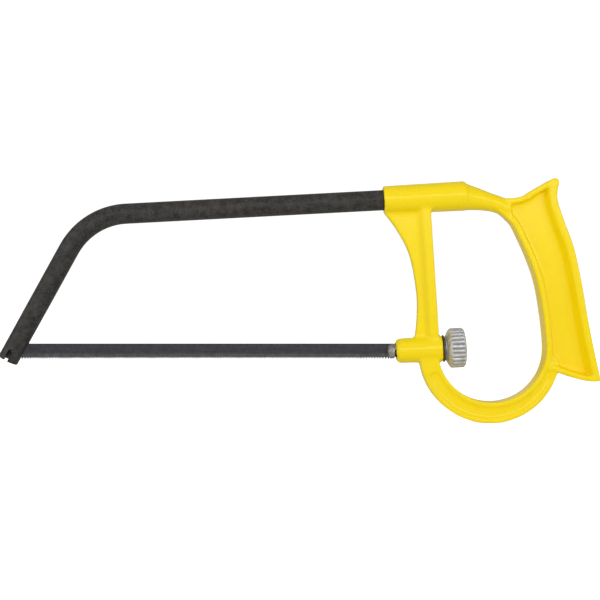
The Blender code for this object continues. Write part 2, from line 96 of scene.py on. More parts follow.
class Graph:
    """Short calls for adding nodes to a shader tree or a geometry tree."""

    def __init__(self, tree: bpy.types.NodeTree) -> None:
        """Keeps the tree that nodes are added to."""
        self.tree = tree

    def feed(self, socket: bpy.types.NodeSocket, value: object) -> None:
        """Links a socket to the input, or sets the input's own value."""
        if isinstance(value, bpy.types.NodeSocket):
            self.tree.links.new(value, socket)
        else:
            socket.default_value = value

    def add(self, kind: str, inputs: dict | None = None, **settings: object) -> bpy.types.Node:
        """Adds one node.

        Args:
            kind: the node's type, as Blender names it.
            inputs: a value or a socket for each of its inputs, by name or index.
            **settings: the node's own options.

        Returns:
            The new node.
        """
        node = self.tree.nodes.new(kind)
        for key, value in settings.items():
            setattr(node, key, value)
        for key, value in (inputs or {}).items():
            self.feed(node.inputs[key], value)
        return node

    def math(self, operation: str, *values: object) -> bpy.types.NodeSocket:
        """The result of one arithmetic step on one to three values or sockets."""
        node = self.add("ShaderNodeMath", dict(enumerate(values)), operation=operation)
        return node.outputs[0]

    def times(self, first: object, second: object) -> bpy.types.NodeSocket:
        """One value or socket times another."""
        return self.math("MULTIPLY", first, second)

    def ramp(self, factor: object, low: float, high: float, start: float = 0.0,
             end: float = 1.0) -> bpy.types.NodeSocket:
        """A smooth step from start to end as the factor goes from low to high.

        Args:
            factor: the socket to read.
            low: the factor where the step begins.
            high: the factor where it ends.
            start: the result below low.
            end: the result above high.

        Returns:
            The socket that holds the result.
        """
        node = self.add("ShaderNodeMapRange", {0: factor, 1: low, 2: high, 3: start, 4: end},
                        interpolation_type="SMOOTHSTEP")
        return node.outputs[0]


class ShaderGraph(Graph):
    """A shader tree with the patterns that the finishes share."""

    def __init__(self, material: bpy.types.Material) -> None:
        """Starts on the material's own tree, with its object coordinates at hand."""
        super().__init__(material.node_tree)
        self.shader = material.node_tree.nodes["Principled BSDF"]
        self.place = self.add("ShaderNodeTexCoord").outputs["Object"]

    def noise(self, size: float, detail: float = 3.0, roughness: float = 0.55,
              stretch: tuple[float, float, float] = (1.0, 1.0, 1.0)) -> bpy.types.NodeSocket:
        """Cloudy noise on the piece.

        Args:
            size: width of its clouds in metres.
            detail: how many finer layers it has.
            roughness: how strong those layers are.
            stretch: how much longer the clouds are along each axis.

        Returns:
            The noise, from 0 to 1.
        """
        scale = tuple(1.0 / s for s in stretch)
        mapped = self.add("ShaderNodeMapping", {"Vector": self.place, "Scale": scale})
        node = self.add("ShaderNodeTexNoise", {
            "Vector": mapped.outputs[0], "Scale": 1.0 / size, "Detail": detail,
            "Roughness": roughness,
        })
        return node.outputs[0]

    def stored(self, name: str) -> bpy.types.NodeSocket:
        """A number stored on the mesh's points."""
        return self.add("ShaderNodeAttribute", attribute_name=name).outputs["Fac"]

    def blend(self, factor: object, first: object, second: object) -> bpy.types.NodeSocket:
        """A colour between two colours or colour sockets."""
        node = self.add("ShaderNodeMix", data_type="RGBA")
        self.feed(node.inputs["Factor"], factor)
        for socket, value in zip((node.inputs[6], node.inputs[7]), (first, second)):
            self.feed(socket, value if isinstance(value, bpy.types.NodeSocket) else (*value, 1.0))
        return node.outputs[2]

    def bump(self, height: object, depth: float,
             below: bpy.types.NodeSocket | None = None) -> bpy.types.NodeSocket:
        """A surface normal from a height pattern.

        Args:
            height: the pattern, from 0 to 1.
            depth: what 1 stands for, in metres.
            below: the normal that this one is laid over.

        Returns:
            The normal socket.
        """
        node = self.add("ShaderNodeBump", {"Strength": 1.0, "Distance": depth, "Height": height})
        if below is not None:
            self.feed(node.inputs["Normal"], below)
        return node.outputs[0]

    def finish(self, **values: object) -> None:
        """Sets or links the shader's inputs, named with underscores for spaces."""
        for name, value in values.items():
            self.feed(self.shader.inputs[name.replace("_", " ")], value)


# ---- Finishes ---------------------------------------------------------------------------


@dataclass(frozen=True)
class Finish:
    """A surface finish: a material's name and the record's slot that it stands for."""

    name: str
    slot: str

    def make(self) -> bpy.types.Material:
        """Builds the material, the first time it is asked for.

        Returns:
            The material.
        """
        found = bpy.data.materials.get(self.name)
        if found:
            return found
        made = bpy.data.materials.new(self.name)
        made.use_nodes = True
        self.wire(ShaderGraph(made))
        return made

    def wire(self, graph: ShaderGraph) -> None:
        """Adds the finish's own nodes."""
        raise NotImplementedError


@dataclass(frozen=True)
class CastingPaint(Finish):
    """Thick gloss paint on a die casting."""

    colour: tuple[float, float, float] = (0.985, 0.745, 0.003)
    # darker orange, for random cloudy patches and for painted shade in concave corners
    cloud_and_corner_shade: tuple[float, float, float] = (0.900, 0.560, 0.002)
    cloud: float = 22 * MM  # size of the patches of colour and gloss
    hairline: float = 0.5 * MM  # width of the fine scratches
    peel: float = 1.6 * MM  # size of the orange peel
    peel_depth: float = 0.012 * MM
    parting_width: float = 0.22 * MM  # half width of the mould's parting line
    parting_depth: float = 0.05 * MM

    def wire(self, graph: ShaderGraph) -> None:
        """Paints shade into concave corners and random cloudy patches as a darker orange, and adds
        orange peel, a parting line and hairlines.
        """
        pointiness = graph.add("ShaderNodeNewGeometry").outputs["Pointiness"]
        # painted shade: the more concave a corner, the more of the darker orange it gets
        corner = graph.ramp(pointiness, 0.40, 0.49, 1.0, 0.0)
        cloud = graph.noise(self.cloud, 2.0)
        cloud_and_corner_shade = graph.math("MULTIPLY_ADD", cloud, 0.12, graph.times(corner, 0.55))
        across = graph.math("ABSOLUTE", graph.add("ShaderNodeSeparateXYZ",
                                                  {0: graph.place}).outputs["Y"])
        parting = graph.ramp(across, 0.0, self.parting_width, 1.0, 0.0)
        peel = graph.bump(graph.noise(self.peel, 1.0), self.peel_depth)
        normal = graph.bump(parting, self.parting_depth, peel)
        hairlines = graph.noise(self.hairline, 2.0, stretch=(1.0, 1.0, 30.0))
        scuff = graph.ramp(hairlines, 0.62, 0.75, 0.0, 0.16)
        rough = graph.math("ADD", scuff, graph.ramp(cloud, 0.3, 0.7, 0.22, 0.30))
        graph.finish(Base_Color=graph.blend(cloud_and_corner_shade, self.colour, self.cloud_and_corner_shade), Roughness=rough,
                     Normal=normal, Specular_IOR_Level=0.20, Coat_Weight=0.12,
                     Coat_Roughness=0.12)


@dataclass(frozen=True)
class BakedEnamel(Finish):
    """Mottled black enamel baked on a steel tube."""

    dark: tuple[float, float, float] = (0.0190, 0.0170, 0.0156)
    light: tuple[float, float, float] = (0.0620, 0.0560, 0.0510)
    bare: tuple[float, float, float] = (0.22, 0.21, 0.20)
    mottle: float = 2.6 * MM  # size of the mottling
    mottle_depth: float = 0.035 * MM
    grain: float = 0.55 * MM  # size of the grain
    grain_depth: float = 0.020 * MM

    def wire(self, graph: ShaderGraph) -> None:
        """Mottles colour, gloss and height together, and lets steel through at the edges."""
        mottle = graph.noise(self.mottle, 4.0, 0.62)
        grain = graph.noise(self.grain, 2.0, 0.6)
        both = graph.math("MULTIPLY_ADD", grain, 0.45, graph.times(mottle, 0.6))
        shade = graph.ramp(both, 0.36, 0.70)
        pointiness = graph.add("ShaderNodeNewGeometry").outputs["Pointiness"]
        edges = graph.ramp(pointiness, 0.56, 0.66)
        chips = graph.times(edges, graph.ramp(grain, 0.45, 0.6))
        colour = graph.blend(graph.times(chips, 0.5),
                             graph.blend(shade, self.dark, self.light), self.bare)
        rough = graph.ramp(both, 0.3, 0.7, 0.34, 0.56)
        normal = graph.bump(grain, self.grain_depth, graph.bump(mottle, self.mottle_depth))
        graph.finish(Base_Color=colour, Roughness=rough, Normal=normal, Specular_IOR_Level=0.20,
                     Metallic=graph.times(chips, 0.6))


@dataclass(frozen=True)
class BlackenedSteel(Finish):
    """Blue-black hardened strip, ground near its teeth."""

    colour: tuple[float, float, float] = (0.026, 0.025, 0.030)
    paler: tuple[float, float, float] = (0.046, 0.045, 0.052)
    ground: tuple[float, float, float] = (0.130, 0.128, 0.130)
    streak: float = 0.35 * MM  # width of the rolling streaks
    streak_depth: float = 0.006 * MM
    spot: float = 1.7 * MM
    rake: float = TOOTH_PITCH  # spacing of the grinding marks, one to a tooth
    lean: float = 0.7  # how far a mark runs along the blade for its height
    rake_depth: float = 0.05 * MM

    def wire(self, graph: ShaderGraph) -> None:
        """Adds rolling streaks along the strip, faint spots and grinding marks near the teeth."""
        streaks = graph.noise(self.streak, 3.0, stretch=(60.0, 1.0, 1.0))
        spots = graph.noise(self.spot, 4.0, 0.65)
        both = graph.math("MULTIPLY_ADD", spots, 0.5, graph.times(streaks, 0.5))
        shade = graph.ramp(both, 0.38, 0.62)
        tip = graph.stored("tip")
        near = graph.ramp(tip, 0.05, 0.35)
        parts = graph.add("ShaderNodeSeparateXYZ", {0: graph.place}).outputs
        along = graph.math("MULTIPLY_ADD", parts["Z"], self.lean, parts["X"])
        phase = graph.times(along, 2 * math.pi / self.rake)
        ripple = graph.math("MULTIPLY_ADD", graph.math("SINE", phase), 0.5, 0.5)
        marks = graph.times(near, ripple)
        worn = graph.times(marks, graph.ramp(spots, 0.35, 0.6, 0.35, 0.9))
        colour = graph.blend(worn, graph.blend(shade, self.colour, self.paler), self.ground)
        normal = graph.bump(marks, self.rake_depth, graph.bump(streaks, self.streak_depth))
        graph.finish(Base_Color=colour, Metallic=0.25, Specular_IOR_Level=0.35, Normal=normal,
                     Roughness=graph.ramp(streaks, 0.3, 0.7, 0.42, 0.58))


@dataclass(frozen=True)
class PlatedMetal(Finish):
    """Bare or plated metal, with painted shade darkening its flutes and thread grooves."""

    colour: tuple[float, float, float]
    tarnish: tuple[float, float, float]
    # darker colour painted into flutes and thread grooves as shade
    groove: tuple[float, float, float]
    gloss: tuple[float, float]  # roughness of its clearest and its dullest patches
    grain: float  # size of the plating's crystals
    metal: float = 1.0  # how metallic the surface is
    speck: float = 0.22 * MM  # size of the finest marks
    speck_depth: float = 0.006 * MM
    turning: float = 0.16 * MM  # width of the turning marks
    turning_depth: float = 0.010 * MM

    def wire(self, graph: ShaderGraph) -> None:
        """Adds crystal patches, turning marks and painted shade in the grooves."""
        patches = graph.noise(self.grain, 3.0, 0.6)
        fine = graph.noise(self.speck, 2.0)
        marks = graph.noise(self.turning, 1.0, stretch=(1.0, 14.0, 14.0))
        # painted shade: how deep a point lies in a flute or a thread groove
        groove_shade = graph.stored("groove")
        shade = graph.ramp(patches, 0.35, 0.68)
        clean = graph.blend(shade, self.colour, self.tarnish)
        deep = graph.times(groove_shade, graph.ramp(fine, 0.3, 0.6, 0.65, 1.0))
        rough = graph.math("MULTIPLY_ADD", groove_shade, 0.15, graph.ramp(patches, 0.3, 0.7, *self.gloss))
        normal = graph.bump(fine, self.speck_depth, graph.bump(marks, self.turning_depth))
        graph.finish(Base_Color=graph.blend(deep, clean, self.groove), Metallic=self.metal,
                     Roughness=rough, Normal=normal)


YELLOW_PAINT = CastingPaint("yellow_gloss_paint", "handle_paint")
BLACK_ENAMEL = BakedEnamel("mottled_black_enamel", "tube_enamel")
BLADE_STEEL = BlackenedSteel("blackened_blade_steel", "blade_steel")
# blackened steel, kept near black as painted shade so that the notches round the pins read dark
PIN_STEEL = PlatedMetal("dark_pin_steel", "pin_steel", (0.085, 0.083, 0.082), (0.050, 0.048, 0.046),
                        (0.03, 0.03, 0.03), (0.40, 0.55), 0.9 * MM)
STUD_STEEL = PlatedMetal("stud_dull_steel", "stud_steel", (0.42, 0.40, 0.38), (0.25, 0.235, 0.22),
                         (0.05, 0.05, 0.05), (0.42, 0.60), 1.0 * MM)
ZINC_PLATE = PlatedMetal("bright_zinc_plate", "zinc_plate", (0.74, 0.735, 0.74),
                         (0.52, 0.515, 0.52), (0.26, 0.26, 0.27), (0.34, 0.50), 1.8 * MM,
                         metal=0.75)
# painted shade: the washer is coloured dark brown to stand for the shaded gap between boss and nut
SHADOW_DARK_WASHER_ZINC = PlatedMetal("shadow_brown_zinc_plate", "zinc_plate", (0.24, 0.20, 0.17),
                          (0.13, 0.11, 0.09), (0.05, 0.04, 0.04), (0.45, 0.60), 1.2 * MM)


# ---- Mesh tools -------------------------------------------------------------------------


def new_object(name: str, mesh: bpy.types.Mesh) -> bpy.types.Object:
    """A new object of that mesh, at the origin."""
    made = bpy.data.objects.new(name, mesh)
    bpy.context.scene.collection.objects.link(made)
    return made


def mesh_of(name: str, points: list, faces: list, edges: list | None = None) -> bpy.types.Mesh:
    """A mesh from plain lists of points, faces and edges."""
    mesh = bpy.data.meshes.new(name)
    mesh.from_pydata([tuple(p) for p in points], edges or [], faces)
    return mesh


def settled(obj: bpy.types.Object) -> bpy.types.Object:
    """Turns the object's modifiers into plain mesh.

    Args:
        obj: the object, with its modifiers.

    Returns:
        The same object, with no modifiers.
    """
    graph = bpy.context.evaluated_depsgraph_get()
    mesh = bpy.data.meshes.new_from_object(obj.evaluated_get(graph))
    obj.modifiers.clear()
    obj.data = mesh
    return obj


def outward(obj: bpy.types.Object, merge: float = WELD / 10) -> bpy.types.Object:
    """Merges doubles and turns every face outwards.

    Args:
        obj: the object to mend.
        merge: distance within which points are made one.

    Returns:
        The same object.
    """
    shape = bmesh.new()
    shape.from_mesh(obj.data)
    bmesh.ops.remove_doubles(shape, verts=shape.verts, dist=merge)
    bmesh.ops.recalc_face_normals(shape, faces=shape.faces)
    shape.to_mesh(obj.data)
    shape.free()
    return obj


def arc(radius: float, turn: float, steps: int) -> list[tuple[float, float]]:
    """Points round the origin, from the first axis through that turn."""
    angles = [turn * i / steps for i in range(steps + 1)]
    return [(radius * math.cos(angle), radius * math.sin(angle)) for angle in angles]


def prism(name: str, outline: list[tuple[float, float]], half: float) -> bpy.types.Object:
    """A straight block of that outline in x and z, from y = -half to y = half.

    Args:
        name: the object's name.
        outline: its corners in order.
        half: half of its depth.

    Returns:
        The block.
    """
    count = len(outline)
    points = [(x, y, z) for y in (-half, half) for x, z in outline]
    faces = [tuple(range(count)), tuple(range(count, 2 * count))]
    faces += [(i, (i + 1) % count, (i + 1) % count + count, i + count) for i in range(count)]
    return outward(new_object(name, mesh_of(name, points, faces)))


def block(name: str, low: tuple[float, float], high: tuple[float, float],
          half: float) -> bpy.types.Object:
    """A box between two corners in x and z, from y = -half to y = half."""
    return prism(name, [low, (high[0], low[1]), high, (low[0], high[1])], half)


def notch(name: str, radius: float, floor: float, half: float) -> bpy.types.Object:
    """A cutter for a hook that takes a pin: round at its top, open downwards to floor.

    Args:
        name: the cutter's name.
        radius: radius round the pin.
        floor: height where the cutter ends.
        half: half of its depth.

    Returns:
        The cutter.
    """
    return prism(name, arc(radius, math.pi, 20) + [(-radius, floor), (radius, floor)], half)


def cut(obj: bpy.types.Object, cutters: list[bpy.types.Object]) -> bpy.types.Object:
    """Cuts the cutters from the object and removes them.

    Args:
        obj: the object that is cut.
        cutters: closed shapes.

    Returns:
        The same object.
    """
    for cutter in cutters:
        step = obj.modifiers.new(cutter.name, "BOOLEAN")
        step.operation = "DIFFERENCE"
        step.solver = "EXACT"
        step.object = cutter
    settled(obj)
    for cutter in cutters:
        bpy.data.objects.remove(cutter)
    return obj


def softened(corners: list[tuple[float, float, float]],
             steps: int = 4) -> list[tuple[float, float]]:
    """Rounds the corners of a profile.

    Args:
        corners: each corner's two coordinates and the length that its rounding takes.
        steps: points along each rounding, less one.

    Returns:
        The rounded profile.
    """
    line = []
    for i, (x, y, length) in enumerate(corners):
        here = Vector((x, y))
        if length <= 0 or i in (0, len(corners) - 1):
            line.append((x, y))
            continue
        before = here + (Vector(corners[i - 1][:2]) - here).normalized() * length
        after = here + (Vector(corners[i + 1][:2]) - here).normalized() * length
        for k in range(steps + 1):
            t = k / steps
            point = before * (1 - t) ** 2 + here * 2 * t * (1 - t) + after * t ** 2
            line.append((point.x, point.y))
    return line


def dense(profile: list[tuple[float, float]], step: float) -> list[tuple[float, float]]:
    """The profile with points added, so that none are further apart than step."""
    line = [profile[0]]
    for start, end in zip(profile, profile[1:]):
        count = max(1, math.ceil(math.dist(start, end) / step))
        line += [tuple(a + (b - a) * k / count for a, b in zip(start, end))
                 for k in range(1, count + 1)]
    return line


def dress(piece: bpy.types.Object, finish: Finish, body: Body, *stands_for: str,
          crease: float = 30.0) -> None:
    """Gives a finished piece its material and shading, and hangs it on its body.

    Args:
        piece: the piece, in place.
        finish: its finish.
        body: the group that it moves with.
        *stands_for: the frame's nodes that it replaces.
        crease: angle in degrees past which an edge stays sharp.
    """
    piece.data.materials.clear()
    piece.data.materials.append(finish.make())
    piece.data.polygons.foreach_set("material_index", [0] * len(piece.data.polygons))
    piece.data.shade_smooth()
    piece.data.set_sharp_from_angle(angle=math.radians(crease))
    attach(piece, body.value)
    if stands_for:
        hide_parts(*stands_for)
    log.info("%s: %d faces on %s", piece.name, len(piece.data.polygons), body.value)


# ---- Geometry Nodes ---------------------------------------------------------------------


class GeometryTree(Graph):
    """A Geometry Nodes tree with named inputs, which runs once on a mesh."""

    def __init__(self, name: str, **defaults: object) -> None:
        """Makes the tree and its inputs.

        Args:
            name: the tree's name.
            **defaults: each input's name, with underscores for spaces, and its first value.
        """
        super().__init__(bpy.data.node_groups.new(name, "GeometryNodeTree"))
        self.tree.is_modifier = True
        face = self.tree.interface
        face.new_socket("Geometry", in_out="INPUT", socket_type="NodeSocketGeometry")
        face.new_socket("Geometry", in_out="OUTPUT", socket_type="NodeSocketGeometry")
        self.idents = {}
        for key, value in defaults.items():
            kind = {int: "NodeSocketInt", float: "NodeSocketFloat"}.get(type(value),
                                                                       "NodeSocketMaterial")
            socket = face.new_socket(key.replace("_", " "), in_out="INPUT", socket_type=kind)
            if value is not None:
                socket.default_value = value
            self.idents[key] = socket.identifier
        self.entry = self.add("NodeGroupInput")
        self.exit = self.add("NodeGroupOutput")

    def get(self, key: str) -> bpy.types.NodeSocket:
        """One of the tree's inputs, as a socket inside it."""
        return self.entry.outputs[key.replace("_", " ")]

    def field(self, name: str) -> bpy.types.NodeSocket:
        """A number stored on the mesh under that name."""
        node = self.add("GeometryNodeInputNamedAttribute", {"Name": name}, data_type="FLOAT")
        return node.outputs[0]

    def sampled(self, geometry: object, index: object, value: object,
                kind: str) -> bpy.types.NodeSocket:
        """The value at the geometry's point of that index."""
        node = self.add("GeometryNodeSampleIndex",
                        {"Geometry": geometry, "Value": value, "Index": index},
                        data_type=kind, domain="POINT")
        return node.outputs[0]

    def store(self, geometry: object, name: str, value: object) -> bpy.types.NodeSocket:
        """The geometry with a number stored on its points."""
        node = self.add("GeometryNodeStoreNamedAttribute",
                        {"Geometry": geometry, "Name": name, "Value": value},
                        data_type="FLOAT", domain="POINT")
        return node.outputs[0]

    def close(self, geometry: object) -> None:
        """Ends the tree with Realize Instances and Set Material."""
        real = self.add("GeometryNodeRealizeInstances", {"Geometry": geometry})
        done = self.add("GeometryNodeSetMaterial",
                        {"Geometry": real.outputs[0], "Material": self.get("Material")})
        self.feed(self.exit.inputs[0], done.outputs[0])

    def run(self, obj: bpy.types.Object, **values: object) -> bpy.types.Object:
        """Runs the tree on the object and keeps the result as plain mesh.

        Args:
            obj: the object whose mesh the tree starts from.
            **values: settings for the tree's inputs.

        Returns:
            The same object.
        """
        step = obj.modifiers.new(self.tree.name, "NODES")
        step.node_group = self.tree
        for key, value in values.items():
            step[self.idents[key]] = value
        return settled(obj)


def turning_tree() -> GeometryTree:
    """A lathe: turns the points of a profile about the x axis, and cuts flutes and a thread.

    Each point of the profile is (along, radius, 0), and its "thread" number is the share of the
    thread's depth that is cut there. Flutes run straight along the piece, down from its outer
    radius. The "groove" number left on the mesh says how deep in a flute or a thread it is.

    Returns:
        The tree.
    """
    tree = GeometryTree("turning", Steps=64, Outer_Radius=1.0, Flutes=0, Flute_Depth=0.0,
                        Thread_Pitch=1.0, Thread_Depth=0.0, Material=None)
    profile = tree.entry.outputs["Geometry"]
    rows = tree.add("GeometryNodeAttributeDomainSize", {"Geometry": profile},
                    component="MESH").outputs["Point Count"]
    grid = tree.add("GeometryNodeMeshGrid", {
        "Vertices X": tree.math("ADD", tree.get("Steps"), 1), "Vertices Y": rows,
    }).outputs["Mesh"]
    index = tree.add("GeometryNodeInputIndex").outputs[0]
    row = tree.math("MODULO", index, rows)
    step = tree.math("FLOOR", tree.math("DIVIDE", tree.math("ADD", index, 0.5), rows))
    turn = tree.math("DIVIDE", step, tree.get("Steps"))
    angle = tree.times(turn, 2 * math.pi)

    place = tree.add("GeometryNodeInputPosition").outputs[0]
    parts = tree.add("ShaderNodeSeparateXYZ",
                     {0: tree.sampled(profile, row, place, "FLOAT_VECTOR")})
    thread = tree.sampled(profile, row, tree.field("thread"), "FLOAT")
    along, radius = parts.outputs["X"], parts.outputs["Y"]

    wave = tree.math("COSINE", tree.times(angle, tree.get("Flutes")))
    dip = tree.math("POWER", tree.math("MULTIPLY_ADD", wave, -0.5, 0.5), 1.7)
    fluted = tree.math("SUBTRACT", tree.get("Outer_Radius"),
                       tree.times(dip, tree.get("Flute_Depth")))
    cut_radius = tree.math("MINIMUM", radius, fluted)
    helix = tree.math("ADD", tree.math("DIVIDE", along, tree.get("Thread_Pitch")), turn)
    saw = tree.math("PINGPONG", helix, 0.5)
    thread_cut = tree.times(tree.times(saw, 2.0), thread)
    final = tree.math("SUBTRACT", cut_radius,
                      tree.times(thread_cut, tree.get("Thread_Depth")))
    flute_share = tree.math("DIVIDE", tree.math("SUBTRACT", radius, cut_radius),
                            tree.math("MAXIMUM", tree.get("Flute_Depth"), TINY))
    groove = tree.math("MAXIMUM", flute_share, thread_cut)

    stored = tree.store(grid, "groove", groove)
    around = tree.add("ShaderNodeCombineXYZ", {
        "X": along, "Y": tree.times(final, tree.math("SINE", angle)),
        "Z": tree.times(final, tree.math("COSINE", angle)),
    }).outputs[0]
    turned = tree.add("GeometryNodeSetPosition", {"Geometry": stored, "Position": around})
    closed = tree.add("GeometryNodeMergeByDistance",
                      {"Geometry": turned.outputs[0], "Distance": WELD})
    tree.close(closed.outputs[0])
    return tree


def sweep_tree() -> GeometryTree:
    """Sweeps a circle along the edges of a path; the path's "taper" narrows it at each point.

    Returns:
        The tree.
    """
    tree = GeometryTree("sweep", Radius=1.0, Sides=64, Material=None)
    path = tree.add("GeometryNodeMeshToCurve", {"Mesh": tree.entry.outputs["Geometry"]})
    sized = tree.add("GeometryNodeSetCurveRadius",
                     {"Curve": path.outputs[0], "Radius": tree.field("taper")})
    ring = tree.add("GeometryNodeCurvePrimitiveCircle",
                    {"Resolution": tree.get("Sides"), "Radius": tree.get("Radius")})
    sleeve = tree.add("GeometryNodeCurveToMesh",
                      {"Curve": sized.outputs[0], "Profile Curve": ring.outputs[0]})
    tree.close(sleeve.outputs[0])
    return tree


def toothing_tree() -> GeometryTree:
    """Repeats one tooth's stretch of strip along x, welds the row and bends the teeth's set.

    The set is a wave along the row. It grows towards the tips, where the stretch's "tip" number
    is 1, and fades out over the plain ends.

    Returns:
        The tree.
    """
    tree = GeometryTree("toothing", Teeth=10, Pitch=1.0, Set=0.1, Wave=8.0, Plain_End=1.0,
                        Material=None)
    step = tree.add("ShaderNodeCombineXYZ", {"X": tree.get("Pitch")}).outputs[0]
    row = tree.add("GeometryNodeMeshLine", {"Count": tree.get("Teeth"), "Offset": step},
                   mode="OFFSET")
    copies = tree.add("GeometryNodeInstanceOnPoints",
                      {"Points": row.outputs[0], "Instance": tree.entry.outputs["Geometry"]})
    real = tree.add("GeometryNodeRealizeInstances", {"Geometry": copies.outputs[0]})
    welded = tree.add("GeometryNodeMergeByDistance",
                      {"Geometry": real.outputs[0], "Distance": 2 * WELD})
    place = tree.add("GeometryNodeInputPosition").outputs[0]
    along = tree.add("ShaderNodeSeparateXYZ", {0: place}).outputs["X"]
    length = tree.times(tree.get("Teeth"), tree.get("Pitch"))
    to_end = tree.math("MINIMUM", along, tree.math("SUBTRACT", length, along))
    fade = tree.ramp(tree.math("DIVIDE", to_end, tree.get("Plain_End")), 1.0, 1.6)
    span = tree.times(tree.get("Pitch"), tree.get("Wave"))
    wave = tree.math("SINE", tree.math("DIVIDE", tree.times(along, 2 * math.pi), span))
    bend = tree.times(tree.times(wave, tree.field("tip")), tree.times(fade, tree.get("Set")))
    shift = tree.add("ShaderNodeCombineXYZ", {"Y": bend}).outputs[0]
    set_row = tree.add("GeometryNodeSetPosition",
                       {"Geometry": welded.outputs[0], "Offset": shift})
    tree.close(set_row.outputs[0])
    return tree


def with_numbers(mesh: bpy.types.Mesh, name: str, values: list[float]) -> bpy.types.Mesh:
    """The mesh with a number stored on each of its points."""
    stored = mesh.attributes.new(name, "FLOAT", "POINT")
    stored.data.foreach_set("value", values)
    return mesh


# ---- Where things are -------------------------------------------------------------------


@dataclass(frozen=True)
class Reach:
    """What a node spans along an axis: where it starts, where it ends and its outer radius."""

    start: float
    end: float
    radius: float


@dataclass(frozen=True)
class Datum:
    """The tensioner's axis: u runs along it from the rear pin, w upwards at right angles."""

    origin: Vector
    axis: Vector

    def matrix(self) -> Matrix:
        """From (u, y, w) to the saw's frame."""
        up = self.axis.cross(Vector((0.0, 1.0, 0.0)))
        turn = Matrix((self.axis, Vector((0.0, 1.0, 0.0)), up)).transposed().to_4x4()
        return Matrix.Translation(self.origin) @ turn

    def points(self, node: str) -> np.ndarray:
        """The points of a node in (u, y, w)."""
        back = self.matrix().inverted()
        return np.array([back @ v.co for v in frame["nodes"][node].data.vertices])

    def reach(self, node: str) -> Reach:
        """What a node spans along the axis."""
        points = self.points(node)
        radius = np.hypot(points[:, 1], points[:, 2]).max()
        return Reach(float(points[:, 0].min()), float(points[:, 0].max()), float(radius))

    def place(self, piece: bpy.types.Object) -> bpy.types.Object:
        """Moves a piece made in (u, y, w) to its place, in its mesh."""
        piece.data.transform(self.matrix())
        return piece


def middle(node: str) -> Vector:
    """The middle of a node's box."""
    low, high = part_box(node)
    return (low + high) / 2


def half_size(node: str, axis: str) -> float:
    """Half of what a node's box measures along an axis."""
    low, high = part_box(node)
    return (getattr(high, axis) - getattr(low, axis)) / 2


def find_datum() -> Datum:
    """The tensioner's axis, from the rear pin and the nut's joint."""
    spin = next(joint for joint in frame["joints"] if joint["name"] == "nut_spin")
    return Datum(middle("rear_blade_pin"), Vector(spin["axis"]).normalized())


# ---- Sub-assemblies ---------------------------------------------------------------------


@dataclass
class Casting:
    """The die-cast handle, with the soft edges and filled corners of a casting under paint."""

    datum: Datum
    voxel: float = 0.40 * MM
    passes: int = 7
    share: float = 0.5
    rise: float = 58.2 * MM  # tensioner's axis to the tube's axis
    clearance: float = 0.15 * MM  # kept round the tube and the stud

    def build(self) -> bpy.types.Object:
        """Copies the frame's casting, meshes it finely and evenly, and smooths it.

        Returns:
            The piece.
        """
        source = frame["nodes"]["handle_casting"]
        piece = outward(new_object("cast_handle", source.data.copy()), WELD)
        step = piece.modifiers.new("even_mesh", "REMESH")
        step.mode = "VOXEL"
        step.voxel_size = self.voxel
        settled(piece)
        self.smooth(piece.data)
        return piece

    def smooth(self, mesh: bpy.types.Mesh) -> None:
        """Moves each point part of the way to the mean of its neighbours, several times.

        Args:
            mesh: the even mesh, which is changed.
        """
        points = np.empty(len(mesh.vertices) * 3, np.float32)
        mesh.vertices.foreach_get("co", points)
        points = points.reshape(-1, 3).astype(float)
        ends = np.empty(len(mesh.edges) * 2, np.int32)
        mesh.edges.foreach_get("vertices", ends)
        first, second = ends.reshape(-1, 2).T
        count = len(points)
        near = np.bincount(first, minlength=count) + np.bincount(second, minlength=count)
        for _ in range(self.passes):
            total = np.empty_like(points)
            for k in range(3):
                total[:, k] = (np.bincount(first, points[second, k], count)
                               + np.bincount(second, points[first, k], count))
            points += self.share * (total / near[:, None] - points)
        back = np.array(self.datum.matrix().inverted())
        local = points @ back[:3, :3].T + back[:3, 3]
        end = self.datum.reach("frame_tube").end
        self.keep_clear(local, self.rise, half_size("frame_tube", "y"), end)
        stud = self.datum.reach("tension_stud")
        self.keep_clear(local, 0.0, stud.radius, stud.end)
        there = np.array(self.datum.matrix())
        points = local @ there[:3, :3].T + there[:3, 3]
        mesh.vertices.foreach_set("co", points.astype(np.float32).ravel())
        mesh.update()

    def keep_clear(self, local: np.ndarray, height: float, radius: float, end: float) -> None:
        """Pushes the wall of a bore out to its clearance.

        Args:
            local: the casting's points in (u, y, w), which are changed.
            height: w of the bore's axis.
            radius: radius of what runs in the bore.
            end: u where that ends.
        """
        across, up = local[:, 1], local[:, 2] - height
        distance = np.hypot(across, up)
        inside = (distance < radius + self.clearance) & (distance > radius / 2)
        inside &= local[:, 0] < end
        grow = (radius + self.clearance) / distance[inside]
        local[inside, 1] = across[inside] * grow
        local[inside, 2] = height + up[inside] * grow

    def make(self) -> None:
        """Builds and dresses the casting."""
        dress(self.build(), YELLOW_PAINT, Body.FRAME, "handle_casting", crease=60.0)


